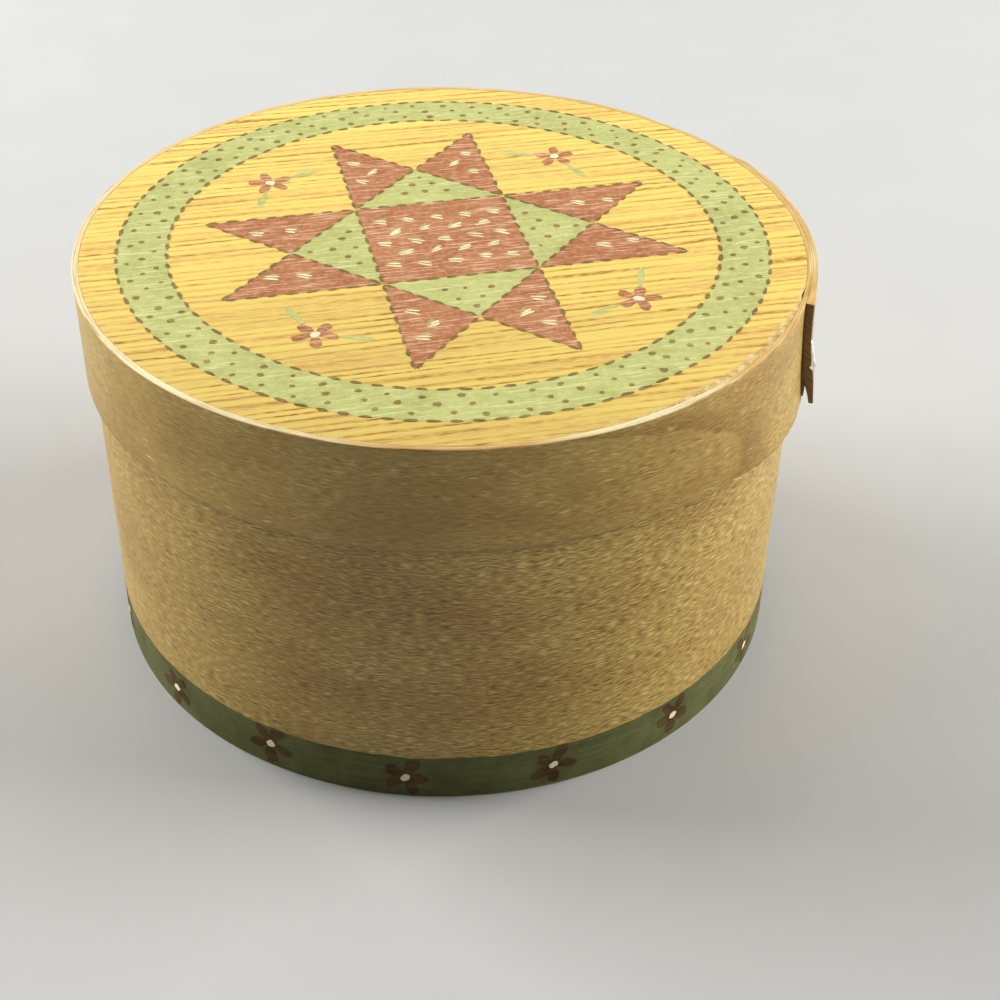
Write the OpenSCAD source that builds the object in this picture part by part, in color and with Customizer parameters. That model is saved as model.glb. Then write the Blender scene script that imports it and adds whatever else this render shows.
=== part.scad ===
// Round bentwood box with a lift-off lid.
// A thin wooden strip bent round a bottom board makes the box. A shorter strip
// bent round a second board makes the lid, whose rim drops over the box.
// The origin is the centre of the underside, +Z is up and the front faces -Y.

/* [Box] */
// Outside diameter of the bent side
box_d = 176; // [140:1:240]
// Height of the bent side
box_h = 101; // [60:1:160]
// Thickness of the side's strip
side_t = 1.5; // [1.2:0.1:3]
// Thickness of the bottom board
bottom_t = 4; // [3:0.5:10]

/* [Scarf joint of the side] */
// Direction of the joint, turned from +X towards +Y
scarf_angle = 100; // [60:1:120]
// Length along the side of the slope where the strip's two ends meet
scarf_len = 12; // [6:1:12]

/* [Lid] */
// Height of the bent rim
lid_h = 27; // [18:1:50]
// Thickness of the rim's strip
rim_t = 1.5; // [1.2:0.1:3]
// Thickness of the lid board
lid_board_t = 3; // [2:0.5:6]
// Gap all round between the rim and the side that it drops over
lid_gap = 0.4; // [0.3:0.05:1]

/* [Lap of the rim] */
// Direction of the lap's outer end, turned from +X towards +Y
lap_end_angle = -20.6; // [-40:0.1:0]
// Length over which the strip's two ends lie on each other
lap_len = 74; // [40:1:100]
// Room between the covered end and the slope of the outer layer
lap_end_room = 1; // [0.5:0.5:3]
// Length of the slope that brings the outer layer down to the single rim
lap_slope_len = 8; // [5:1:15]

/* [Staples] */
// Thickness of the staple wire
wire_d = 1; // [0.8:0.1:1.2]
// Outside width of a staple's crown
crown_w = 6.4; // [5:0.2:9.6]
// Distance of the rim's staples from the ends of the lap
lap_staple_inset = 1.8; // [1.4:0.1:6]
// Wood left between a rim staple's points and the rim's inner face
point_cover = 0.3; // [0.2:0.1:0.6]
// Number of staples down the side's joint
side_staple_count = 2; // [1:1:3]
// Gap between the two bent-over points inside the side
clinch_gap = 1; // [0.6:0.1:2]

/* [Pins] */
// Thickness of the headless pins
pin_d = 0.9; // [0.7:0.1:1.2]
// Length of the pins
pin_len = 10; // [6:1:16]
// Depth of a pin's outer end below the face of the strip
pin_sink = 0.4; // [0.2:0.1:0.6]
// Number of pins round the bottom board
bottom_pin_count = 8; // [4:2:16]
// Number of pins round the lid board
lid_pin_count = 8; // [4:1:16]

/* [Fits] */
// Glue line between two glued faces of a strip
glue_t = 0.1; // [0.05:0.05:0.2]
// Gap between a board's edge and the strip bent round it
board_fit = 0.1; // [0.05:0.05:0.3]
// Gap all round a wire or pin in its hole, and under a staple's crown
wire_fit = 0.05; // [0.02:0.01:0.1]

/* [Hidden] */

// Sides of a full turn of a strip and of a wire
strip_sides = 240;
wire_sides = 24;
// How far a cut runs past the face that it opens
cut_over = 1;

function arc_degrees(length, radius) = length / radius * 180 / PI;
function polar(radius, angle) = [radius * cos(angle), radius * sin(angle)];

// The side, from the axis outwards
side_r = box_d / 2;
side_in_r = side_r - side_t;

// The rim: a single strip all round, and an outer layer over it at the lap
rim_in_r = side_r + lid_gap;
rim_r = rim_in_r + rim_t;
lap_step = rim_t + glue_t;
lap_in_r = rim_in_r + lap_step;
lap_r = lap_in_r + rim_t;

// The lid board lies on the top edge of the side
top_z = box_h + lid_board_t;
rim_z = top_z - lid_h;

// The lap's angles: its covered end, and the two ends of the slope
covered_angle = lap_end_angle + arc_degrees(lap_len, rim_r);
slope_from = covered_angle + arc_degrees(lap_end_room, rim_r);
slope_to = slope_from + arc_degrees(lap_slope_len, rim_r);

// Staples: their angles on the lap, and the height of each crown's middle
lap_staple_angles = [lap_end_angle + arc_degrees(lap_staple_inset, rim_r),
                     covered_angle - arc_degrees(lap_staple_inset, rim_r)];
lap_staple_z = rim_z + lid_h / 2;
bare_side_h = rim_z - bottom_t;
side_staple_heights = [for (i = [1 : side_staple_count])
    bottom_t + bare_side_h * i / (side_staple_count + 1)];
leg_offset = (crown_w - wire_d) / 2;
clinch_len = leg_offset - clinch_gap / 2;
wire_hole_d = wire_d + 2 * wire_fit;

// Pins: each row's height and angles, which keep clear of the joints
pin_hole_d = pin_d + 2 * wire_fit;
bottom_pin_z = bottom_t / 2;
bottom_pin_angles = [for (i = [0 : bottom_pin_count - 1])
    scarf_angle + (i + 0.5) * 360 / bottom_pin_count];
lid_pin_z = top_z - lid_board_t / 2;
single_rim_span = 360 + lap_end_angle - slope_to;
lid_pin_angles = [for (i = [0 : lid_pin_count - 1])
    slope_to + (i + 0.5) * single_rim_span / lid_pin_count];

// Round bar along a radius, from one distance off the axis to another
module radial_bar(from_r, to_r, angle, z, d) {
    rotate([0, 0, angle])
        translate([from_r, 0, z])
            rotate([0, 90, 0])
                cylinder(h = to_r - from_r, d = d, $fn = wire_sides);
}

// Upright round bar with ball ends, which round the bends of a wire
module upright_wire(r, angle, z_low, z_high) {
    rotate([0, 0, angle])
        translate([r, 0, z_low]) {
            cylinder(h = z_high - z_low, d = wire_d, $fn = wire_sides);
            sphere(d = wire_d, $fn = wire_sides);
            translate([0, 0, z_high - z_low])
                sphere(d = wire_d, $fn = wire_sides);
        }
}

// Staple with an upright crown on the face at face_r, and two legs that reach in to end_r
module staple(face_r, end_r, angle, z) {
    crown_r = face_r + wire_fit + wire_d / 2;
    upright_wire(crown_r, angle, z - leg_offset, z + leg_offset);
    for (side = [-1, 1])
        radial_bar(end_r, crown_r, angle, z + side * leg_offset, wire_d);
}

// Leg ends of a staple bent over towards each other
module clinched_points(r, angle, z) {
    upright_wire(r, angle, z - leg_offset, z - leg_offset + clinch_len - wire_d / 2);
    upright_wire(r, angle, z + leg_offset - clinch_len + wire_d / 2, z + leg_offset);
}

// Holes of one staple's legs through everything between two distances off the axis
module leg_holes(from_r, to_r, angle, z) {
    for (side = [-1, 1])
        radial_bar(from_r, to_r, angle, z + side * leg_offset, wire_hole_d);
}

// Row of headless pins whose outer ends are sunk below the face at face_r
module pins(face_r, angles, z) {
    for (angle = angles)
        radial_bar(face_r - pin_sink - pin_len, face_r - pin_sink, angle, z, pin_d);
}

// Holes for that row, open at the face of the strip
module pin_holes(face_r, angles, z) {
    for (angle = angles)
        radial_bar(face_r - pin_sink - pin_len - wire_fit, face_r + cut_over, angle, z, pin_hole_d);
}

// Slanted glue line where the two ends of the side meet
module scarf_cut() {
    span = arc_degrees(scarf_len, side_r);
    inner_point = polar(side_in_r, scarf_angle - span / 2);
    outer_point = polar(side_r, scarf_angle + span / 2);
    run = outer_point - inner_point;
    translate([inner_point.x, inner_point.y, -cut_over])
        rotate([0, 0, atan2(run.y, run.x)])
            translate([-cut_over, -glue_t / 2, 0])
                cube([norm(run) + 2 * cut_over, glue_t, box_h + 2 * cut_over]);
}

// Slice of a disc between two angles
module slice(r, from, to) {
    reach = 2 * r;
    intersection() {
        circle(r = r, $fn = strip_sides);
        polygon([[0, 0], polar(reach, from), polar(reach, (from + to) / 2), polar(reach, to)]);
    }
}

// Slice from the lap to past the foot of its slope, cut off along the slope's line moved in by inset
module sloped_slice(r, from, inset) {
    high_point = polar(lap_r, slope_from);
    low_point = polar(rim_r, slope_to);
    run = low_point - high_point;
    foot_over = 2 * cut_over;
    depth = 2 * lap_step + inset;
    difference() {
        slice(r, from, slope_to + arc_degrees(cut_over, rim_r));
        translate(high_point)
            rotate(atan2(run.y, run.x))
                translate([-foot_over, inset - depth])
                    square([norm(run) + 2 * foot_over, depth]);
    }
}

// The glue line between the two layers of the lap
module lap_glue_line() {
    overrun = arc_degrees(cut_over, rim_r);
    difference() {
        slice(lap_in_r, lap_end_angle - overrun, covered_angle + overrun / 2);
        circle(r = rim_r, $fn = strip_sides);
    }
}

// The rim's strip seen from above: one layer all round, two at the lap
module rim_outline() {
    difference() {
        union() {
            circle(r = rim_r, $fn = strip_sides);
            sloped_slice(lap_r, lap_end_angle, 0);
        }
        circle(r = rim_in_r, $fn = strip_sides);
        sloped_slice(lap_in_r, covered_angle, rim_t);
        lap_glue_line();
    }
}

// Bent side of the box
module body_band() {
    color("peru")
        difference() {
            rotate_extrude($fn = strip_sides)
                translate([side_in_r, 0])
                    square([side_t, box_h]);
            scarf_cut();
            for (z = side_staple_heights)
                leg_holes(side_in_r - cut_over, side_r + cut_over, scarf_angle, z);
            pin_holes(side_r, bottom_pin_angles, bottom_pin_z);
        }
}

// Board that closes the box below
module bottom_disc() {
    color("burlywood")
        difference() {
            cylinder(h = bottom_t, r = side_in_r - board_fit, $fn = strip_sides);
            pin_holes(side_r, bottom_pin_angles, bottom_pin_z);
        }
}

// Staples through the side's joint, with their points bent over inside
module body_lap_staples() {
    clinch_r = side_in_r - wire_fit - wire_d / 2;
    color("silver")
        for (z = side_staple_heights) {
            staple(side_r, clinch_r, scarf_angle, z);
            clinched_points(clinch_r, scarf_angle, z);
        }
}

// Pins that hold the bottom board
module bottom_pins() {
    color("gray")
        pins(side_r, bottom_pin_angles, bottom_pin_z);
}

// Bent rim of the lid, with its lap
module lid_band() {
    color("peru")
        difference() {
            translate([0, 0, rim_z])
                linear_extrude(height = lid_h)
                    rim_outline();
            for (angle = lap_staple_angles)
                leg_holes(rim_in_r - cut_over, lap_r + cut_over, angle, lap_staple_z);
            pin_holes(rim_r, lid_pin_angles, lid_pin_z);
        }
}

// Board that closes the lid above
module lid_disc() {
    color("goldenrod")
        difference() {
            translate([0, 0, box_h])
                cylinder(h = lid_board_t, r = rim_in_r - board_fit, $fn = strip_sides);
            pin_holes(rim_r, lid_pin_angles, lid_pin_z);
        }
}

// Staples through the lap of the rim
module lid_lap_staples() {
    color("silver")
        for (angle = lap_staple_angles)
            staple(lap_r, rim_in_r + point_cover, angle, lap_staple_z);
}

// Pins that hold the lid board
module lid_pins() {
    color("gray")
        pins(rim_r, lid_pin_angles, lid_pin_z);
}

body_band();
bottom_disc();
body_lap_staples();
bottom_pins();
lid_band();
lid_disc();
lid_lap_staples();
lid_pins();
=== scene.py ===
import functools
import math
import random

import bmesh
import bpy
from mathutils import Matrix, Vector, noise


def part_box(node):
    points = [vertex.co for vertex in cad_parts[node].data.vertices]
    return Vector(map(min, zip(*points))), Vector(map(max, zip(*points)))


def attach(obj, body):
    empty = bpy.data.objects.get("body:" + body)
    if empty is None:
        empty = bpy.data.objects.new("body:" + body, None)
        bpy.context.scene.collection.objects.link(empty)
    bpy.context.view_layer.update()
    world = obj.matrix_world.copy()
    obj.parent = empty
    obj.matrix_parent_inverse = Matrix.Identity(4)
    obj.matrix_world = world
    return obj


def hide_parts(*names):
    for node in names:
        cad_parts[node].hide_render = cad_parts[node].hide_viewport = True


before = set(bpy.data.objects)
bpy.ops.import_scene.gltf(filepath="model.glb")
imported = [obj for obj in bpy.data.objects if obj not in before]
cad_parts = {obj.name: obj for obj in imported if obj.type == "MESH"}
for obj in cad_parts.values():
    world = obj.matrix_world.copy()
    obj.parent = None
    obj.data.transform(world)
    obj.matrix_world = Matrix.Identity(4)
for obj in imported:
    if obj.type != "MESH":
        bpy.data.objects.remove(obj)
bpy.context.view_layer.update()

scene = bpy.context.scene
scene.view_settings.view_transform = "Standard"
mm = 0.001  # pieces are modelled in millimetres, and newPiece turns them to metres
grainAngle = 12  # degrees from +X to the lid's grain, which its paint follows too


# small tools

def linear(code):
    channels = [int(code[i:i + 2], 16) / 255 for i in (1, 3, 5)]
    return (*[c / 12.92 if c <= 0.04045 else ((c + 0.055) / 1.055) ** 2.4 for c in channels], 1)


def ease(t):
    t = min(max(t, 0), 1)
    return t * t * (3 - 2 * t)


def onCircle(radius, degrees):
    angle = math.radians(degrees)
    return Vector((radius * math.cos(angle), radius * math.sin(angle)))


def nodeBox(node):
    low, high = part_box(node)
    return low / mm, high / mm


# a link comes from an output, or from a node, which then gives the first output that it has in use
def linkInputs(node, links):
    for name, source in links.items():
        if isinstance(source, bpy.types.Node):
            source = next(output for output in source.outputs if output.enabled)
        node.id_data.links.new(source, node.inputs[name])


def addNode(tree, kind, settings=None, links=None):
    node = tree.nodes.new("ShaderNode" + kind)
    if kind == "Mix":
        node.data_type = "RGBA"  # only colours are mixed here
    for name, value in (settings or {}).items():
        if name == "stops":  # a ramp's places and hex colours
            ramp = node.color_ramp.elements
            while len(ramp) < len(value):
                ramp.new(1)
            for stop, (place, code) in zip(ramp, value):
                stop.position = place
                stop.color = linear(code)
        elif isinstance(name, str) and hasattr(node, name):
            setattr(node, name, value)
        else:
            node.inputs[name].default_value = value
    linkInputs(node, links or {})
    return node


# gives the material, what adds a node to it, and its shader
def newMaterial(name, settings):
    material = bpy.data.materials.new(name)
    material.use_nodes = True
    shader = material.node_tree.nodes["Principled BSDF"]
    for socket, value in settings.items():
        shader.inputs[socket].default_value = value
    return material, functools.partial(addNode, material.node_tree), shader


# raises flat faces to a closed slab that faces outwards
def raiseFaces(bm, height):
    raised = bmesh.ops.extrude_face_region(bm, geom=bm.faces[:])["geom"]
    tops = [v for v in raised if isinstance(v, bmesh.types.BMVert)]
    bmesh.ops.translate(bm, vec=(0, 0, height), verts=tops)
    bmesh.ops.recalc_face_normals(bm, faces=bm.faces)


def newPiece(name, bm, body, materials, nodes=()):
    bmesh.ops.scale(bm, vec=(mm, mm, mm), verts=bm.verts)
    mesh = bpy.data.meshes.new(name)
    bm.to_mesh(mesh)
    bm.free()
    for material in materials:
        mesh.materials.append(material)
    mesh.shade_smooth()
    mesh.set_sharp_from_angle(angle=math.radians(40))
    piece = bpy.data.objects.new(name, mesh)
    scene.collection.objects.link(piece)
    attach(piece, body)
    if nodes:
        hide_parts(*nodes)
    print("made", name, len(mesh.polygons), "faces")


# sizes that the frame gives
sideHigh = nodeBox("body_band")[1]
rimLow, rimHigh = nodeBox("lid_band")
boardLow, boardHigh = nodeBox("lid_disc")
bottomLow, bottomHigh = nodeBox("bottom_disc")
sideRadius = sideHigh.y
rimRadius = -rimLow.x  # the lap lies on +X, so -X has the single layer
print("box", round(sideRadius * 2, 1), "mm across, rim", round(rimRadius * 2, 1), "mm across")


# materials: grains and strokes are sizes in mm along and across, and a grain ends with its noise's detail

# Sliced ash under satin varnish: golden, with long thin lines of early wood that fade into pale late wood.
# Its pores are drawn coarser than real ones, to show. The border is rubbed bare.
def ashVeneer(borderRadius):
    look = {"ringStep": 2.6, "driftRings": 2.9, "ringLong": 34, "ringSeed": 7.31, "rubbedWide": 0.2,
            "rubbedMore": 2.2, "rubbedAngle": -40, "rubbedFrom": 0.88, "rubbedRagged": 0.9, "rubbedFade": 0.9,
            "flake": 1.9}
    grains = {"drift": (170, 8, 2), "pore": (3.2, 0.4, 2), "band": (80, 4.5, 3), "calm": (75, 11, 2)}
    material, add, shader = newMaterial("ashVeneer", {"Specular IOR Level": 0.08})
    place = add("TexCoord").outputs["Object"]
    along = add("Mapping", {"Rotation": (0, 0, -math.radians(grainAngle))}, {"Vector": place})
    noises = {}
    for name, (long, wide, detail) in grains.items():
        space = add("Mapping", {"Scale": (1 / (long * mm), 1 / (wide * mm), 1)}, {"Vector": along})
        noises[name] = add("TexNoise", {"Scale": 1, "Detail": detail}, {"Vector": space})

    # rings run a step apart and drift, and each has a dark line that fades into pale wood on both sides
    flatPlace = add("SeparateXYZ", {}, {0: along})
    drift = add("Math", {"operation": "MULTIPLY", 1: look["driftRings"]}, {0: noises["drift"]})
    phase = add("Math", {"operation": "MULTIPLY_ADD", 1: 1 / (look["ringStep"] * mm)},
                {0: flatPlace.outputs["Y"], 2: drift})
    ring = add("Math", {"operation": "PINGPONG", 1: 0.5}, {0: phase})
    fade = add("MapRange", {"interpolation_type": "SMOOTHSTEP", "From Max": 0.3, "To Min": 1, "To Max": 0},
               {"Value": ring})

    # each ring comes and goes by itself, fades in calm stretches, and its pores break it up
    ringNumber = add("Math", {"operation": "ROUND"}, {0: phase})
    ringSeed = add("Math", {"operation": "MULTIPLY", 1: look["ringSeed"]}, {0: ringNumber})
    ringAlong = add("Math", {"operation": "MULTIPLY", 1: 1 / (look["ringLong"] * mm)},
                    {0: flatPlace.outputs["X"]})
    ownPlace = add("CombineXYZ", {}, {"X": ringAlong, "Y": ringSeed})
    own = add("TexNoise", {"Scale": 1, "Detail": 3, "Roughness": 0.6}, {"Vector": ownPlace})
    strength = add("MapRange", {"From Min": 0.38, "From Max": 0.61, "To Min": 0.28}, {"Value": own})
    pores = add("MapRange", {"From Min": 0.36, "From Max": 0.64, "To Min": 0.2, "To Max": 1.6},
                {"Value": noises["pore"]})
    calm = add("MapRange", {"From Min": 0.38, "From Max": 0.58, "To Min": 0.6, "To Max": 1.15},
               {"Value": noises["calm"]})
    darker = add("Math", {"operation": "MULTIPLY"}, {0: strength, 1: pores})
    uneven = add("Math", {"operation": "MULTIPLY"}, {0: darker, 1: calm})
    lines = add("Math", {"operation": "MULTIPLY"}, {0: fade, 1: uneven})
    wood = add("ValToRGB", {"stops": [(0, "#EDD172"), (0.25, "#E2BF62"), (0.6, "#CCA152"), (1, "#9A7030")]},
               {"Fac": lines})
    bands = add("MapRange", {"From Min": 0.45, "From Max": 0.67, "To Max": 0.55}, {"Value": noises["band"]})
    dashed = add("Math", {"operation": "MULTIPLY"}, {0: bands, 1: pores})
    banded = add("Mix", {7: linear("#D2A260")}, {0: dashed, 6: wood})

    # the rubbed border is ragged and mottled, and wider at the front right
    flat = add("VectorMath", {"operation": "MULTIPLY", 1: (1, 1, 0)}, {0: place})
    flakes = add("TexNoise", {"Scale": 1 / (look["flake"] * mm), "Detail": 5, "Roughness": 0.7},
                 {"Vector": place})
    bare = add("ValToRGB", {"stops": [(0.38, "#B08A56"), (0.5, "#D3B27A"), (0.62, "#EBDAA9")]},
               {"Fac": flakes})
    reach = add("VectorMath", {"operation": "LENGTH"}, {0: flat})
    way = (*onCircle(1, look["rubbedAngle"]), 0)
    towards = add("VectorMath", {"operation": "DOT_PRODUCT", 1: way}, {0: flat})
    narrowest = look["rubbedWide"] * mm
    wide = add("MapRange", {"From Min": borderRadius * look["rubbedFrom"], "From Max": borderRadius,
                            "To Min": narrowest, "To Max": narrowest + look["rubbedMore"] * mm},
               {"Value": towards})
    ragged = add("MapRange", {"From Min": 0.3, "From Max": 0.7, "To Min": -look["rubbedRagged"] * mm,
                              "To Max": look["rubbedRagged"] * mm}, {"Value": flakes})
    worn = add("Math", {"operation": "ADD"}, {0: reach, 1: wide})
    wornRagged = add("Math", {"operation": "ADD"}, {0: worn, 1: ragged})
    rubbed = add("MapRange", {"From Min": borderRadius, "From Max": borderRadius + look["rubbedFade"] * mm,
                              "To Max": 0.8}, {"Value": wornRagged})
    colour = add("Mix", {}, {0: rubbed, 6: banded, 7: bare})
    bump = add("Bump", {"invert": True, "Strength": 0.3, "Distance": 0.08 * mm}, {"Height": lines})
    gloss = add("MapRange", {"To Min": 0.58, "To Max": 0.75}, {"Value": rubbed})
    linkInputs(shader, {"Base Color": colour, "Normal": bump, "Roughness": gloss})
    return material


# Rotary-cut birch, stained honey brown and varnished satin: short light and dark flecks along the strip.
# Its UV map is the flat strip in metres, so the flecks follow the bend. A line of painted shade lies along
# one level of it, one end has drunk more stain, and damp may have left a tide mark, a sharp oval edge that
# fades outwards.
def birchVeneer(name, look):
    grains = {"wave": (6, 3, 1), "fleck": (2.8, 0.36, 1), "streak": (14, 0.8, 3), "cluster": (14, 5, 3),
              "cloud": look["cloud"], "nick": (5, 0.8, 0)}
    waveRise = 1 * mm
    material, add, shader = newMaterial(name, {"Specular IOR Level": 0.5})
    strip = add("UVMap", {"uv_map": "strip"})
    noises = {}
    fibres = strip  # turned wavy once the wave is known
    for grain, (long, wide, detail) in grains.items():
        space = add("Mapping", {"Scale": (1 / (long * mm), 1 / (wide * mm), 1)}, {"Vector": fibres})
        noises[grain] = add("TexNoise", {"Scale": 1, "Detail": detail, "Roughness": 0.62}, {"Vector": space})
        if grain == "wave":
            rise = add("MapRange", {"To Min": -waveRise, "To Max": waveRise}, {"Value": noises[grain]})
            offset = add("CombineXYZ", {}, {"Y": rise})
            fibres = add("VectorMath", {}, {0: strip, 1: offset})

    # the flecks are stronger in some clusters and towards one end, and lie over long soft streaks
    spot = add("SeparateXYZ", {}, {0: strip})
    weak, strong = look["contrast"]
    gain = add("MapRange", {"From Min": 0.35, "From Max": 0.65, "To Min": weak, "To Max": strong},
               {"Value": noises["cluster"]})
    start, end = look["fleckRise"]
    rising = add("MapRange", {"From Min": start * mm, "From Max": end * mm, "To Min": 0.75, "To Max": 1.2},
                 {"Value": spot.outputs["X"]})
    depth = add("Math", {"operation": "MULTIPLY"}, {0: gain, 1: rising})
    centred = add("Math", {"operation": "SUBTRACT", 1: 0.5}, {0: noises["fleck"]})
    streaks = add("Math", {"operation": "MULTIPLY_ADD", 1: 0.3, 2: 0.35}, {0: noises["streak"]})
    scaled = add("Math", {"operation": "MULTIPLY_ADD"}, {0: centred, 1: depth, 2: streaks})
    colour = add("ValToRGB", {"stops": [(0.2, "#7D5D1E"), (0.4, "#9E7F38"), (0.56, "#B1944A"),
                                        (0.76, "#D2B96E")]}, {"Fac": scaled})
    cloud = add("ValToRGB", {"stops": [(0.3, "#E3D5BC"), (0.6, "#FFFFFF")]}, {"Fac": noises["cloud"]})
    colour = add("Mix", {"blend_type": "MULTIPLY", 0: 1.0}, {6: colour, 7: cloud})
    if "tide" in look:
        middle, level, length, height = look["tide"]
        oval = add("Mapping", {"vector_type": "TEXTURE", "Location": (middle * mm, level * mm, 0),
                               "Scale": (length * mm, height * mm, 1)}, {"Vector": strip})
        reach = add("VectorMath", {"operation": "LENGTH"}, {0: oval})
        wavy = add("Math", {"operation": "MULTIPLY_ADD", 1: 0.08, 2: -0.04}, {0: noises["cluster"]})
        edge = add("Math", {"operation": "ADD"}, {0: reach, 1: wavy})
        half = add("Math", {"operation": "MULTIPLY", 1: 0.5}, {0: edge})
        tide = add("ValToRGB", {"stops": [(0.497, "#FFFFFF"), (0.503, "#E0D5C2"), (0.53, "#E9E0D1"),
                                          (0.575, "#FFFFFF")]}, {"Fac": half})
        ahead = add("SeparateXYZ", {}, {0: oval}).outputs["X"]
        shown = add("MapRange", {"From Max": 0.6}, {"Value": ahead})
        colour = add("Mix", {"blend_type": "MULTIPLY"}, {0: shown, 6: colour, 7: tide})
    start, end = look["stain"]
    stain = add("MapRange", {"From Min": start * mm, "From Max": end * mm, "To Max": 0.7},
                {"Value": spot.outputs["X"]})
    colour = add("Mix", {7: linear("#5A4326")}, {0: stain, 6: colour})

    # the painted shade line is darker in some stretches, and a few nicks show bare wood
    above = add("Math", {"operation": "SUBTRACT", 1: look["shadeLevel"] * mm}, {0: spot.outputs["Y"]})
    apart = add("Math", {"operation": "ABSOLUTE"}, {0: above})
    near = add("MapRange", {"From Max": look["shadeWidth"] * mm, "To Min": look["shadeDepth"], "To Max": 0},
               {"Value": apart})
    patchy = add("MapRange", {"From Min": 0.35, "From Max": 0.65, "To Min": 0.3}, {"Value": noises["cloud"]})
    paintedShade = add("Math", {"operation": "MULTIPLY"}, {0: near, 1: patchy})
    # painted shade: dark brown along the rim's lower edge and just below it on the side, where the lid
    # overhangs
    shadedColour = add("Mix", {7: linear("#4A3416")}, {0: paintedShade, 6: colour})
    chance = noises["nick"]
    if "chips" in look:  # they crowd on the lower edge round one place
        middle, length, height = look["chips"]
        beside = add("Math", {"operation": "SUBTRACT", 1: middle * mm}, {0: spot.outputs["X"]})
        away = add("Math", {"operation": "ABSOLUTE"}, {0: beside})
        crowd = add("MapRange", {"From Max": length * mm, "To Min": 0.85, "To Max": 0}, {"Value": away})
        low = add("MapRange", {"From Max": height * mm, "To Min": 0.5, "To Max": 0}, {"Value": apart})
        chance = add("Math", {"operation": "MULTIPLY_ADD"}, {0: low, 1: crowd, 2: chance})
    nicks = add("MapRange", {"From Min": 0.8, "From Max": 0.84, "To Max": 0.6}, {"Value": chance})
    nicked = add("Mix", {7: linear("#E3CD93")}, {0: nicks, 6: shadedColour})
    bump = add("Bump", {"Strength": 0.25, "Distance": 0.05 * mm}, {"Height": noises["fleck"]})
    gloss = add("MapRange", {"To Min": 0.34, "To Max": 0.52}, {"Value": noises["cluster"]})
    linkInputs(shader, {"Base Color": nicked, "Normal": bump, "Roughness": gloss})
    return material


# The rim's sawn top edge, rubbed bare: dry, with fibres along it, cream where it is most handled and tan
# elsewhere. Its shades stand at angles round the lid.
def rubbedEdge(startAngle, turn, length):
    look = {"fibre": (14, 0.3), "cream": "#F6EABA", "pale": "#EBD8A2", "tan": "#D5AE66", "dark": "#C79B5F",
            "shades": [(90, "tan"), (208, "pale"), (222, "cream"), (248, "pale"), (260, "tan"), (271, "dark"),
                       (281, "tan"), (288, "pale"), (299, "cream"), (309, "pale"), (319, "tan")]}
    material, add, shader = newMaterial("rubbedEdge", {"Roughness": 0.65, "Specular IOR Level": 0.25})
    strip = add("UVMap", {"uv_map": "strip"})
    spot = add("SeparateXYZ", {}, {0: strip})
    along = add("MapRange", {"From Max": length * mm}, {"Value": spot.outputs["X"]})
    stops = [((angle - startAngle) / turn, look[shade]) for angle, shade in look["shades"]]
    worn = add("ValToRGB", {"stops": stops}, {"Fac": along})
    long, wide = look["fibre"]
    space = add("Mapping", {"Scale": (1 / (long * mm), 1 / (wide * mm), 1)}, {"Vector": strip})
    fibres = add("TexNoise", {"Scale": 1, "Detail": 3, "Roughness": 0.6}, {"Vector": space})
    shade = add("ValToRGB", {"stops": [(0.32, "#C2A277"), (0.48, "#FFFFFF")]}, {"Fac": fibres})
    fibred = add("Mix", {"blend_type": "MULTIPLY", 0: 1.0}, {6: worn, 7: shade})
    paleFibres = add("MapRange", {"From Min": 0.54, "From Max": 0.66, "To Max": 0.7}, {"Value": fibres})
    colour = add("Mix", {7: linear("#F6EABB")}, {0: paleFibres, 6: fibred})
    bump = add("Bump", {"Strength": 0.5, "Distance": 0.1 * mm}, {"Height": fibres})
    linkInputs(shader, {"Base Color": colour, "Normal": bump})
    return material


# The strip's cut end: dark brown and dull, partly from the stain that the end grain drank and partly painted
# shade.
def stainedShadedEndGrain():
    gritSize = 0.9 * mm
    material, add, shader = newMaterial("stainedShadedEndGrain", {"Roughness": 0.6, "Specular IOR Level": 0.3})
    strip = add("UVMap", {"uv_map": "strip"})
    grit = add("TexNoise", {"Scale": 1 / gritSize, "Detail": 4}, {"Vector": strip})
    colour = add("ValToRGB", {"stops": [(0.3, "#6A5230"), (0.7, "#8E724A")]}, {"Fac": grit})
    bump = add("Bump", {"Strength": 0.4, "Distance": 0.1 * mm}, {"Height": grit})
    linkInputs(shader, {"Base Color": colour, "Normal": bump})
    return material


# Birch plywood left bare: pale tan with faint straight grain, matt.
def barePly():
    grainSize = (60, 2.2, 1)
    material, add, shader = newMaterial("barePly", {"Roughness": 0.7, "Specular IOR Level": 0.25})
    place = add("TexCoord").outputs["Object"]
    space = add("Mapping", {"Scale": [1 / (size * mm) for size in grainSize]}, {"Vector": place})
    grain = add("TexNoise", {"Scale": 1, "Detail": 4, "Roughness": 0.6}, {"Vector": space})
    colour = add("ValToRGB", {"stops": [(0.3, "#B8975E"), (0.5, "#CDAE76"), (0.7, "#DCC08B")]},
                 {"Fac": grain})
    bump = add("Bump", {"Strength": 0.3, "Distance": 0.06 * mm}, {"Height": grain})
    linkInputs(shader, {"Base Color": colour, "Normal": bump})
    return material


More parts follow.
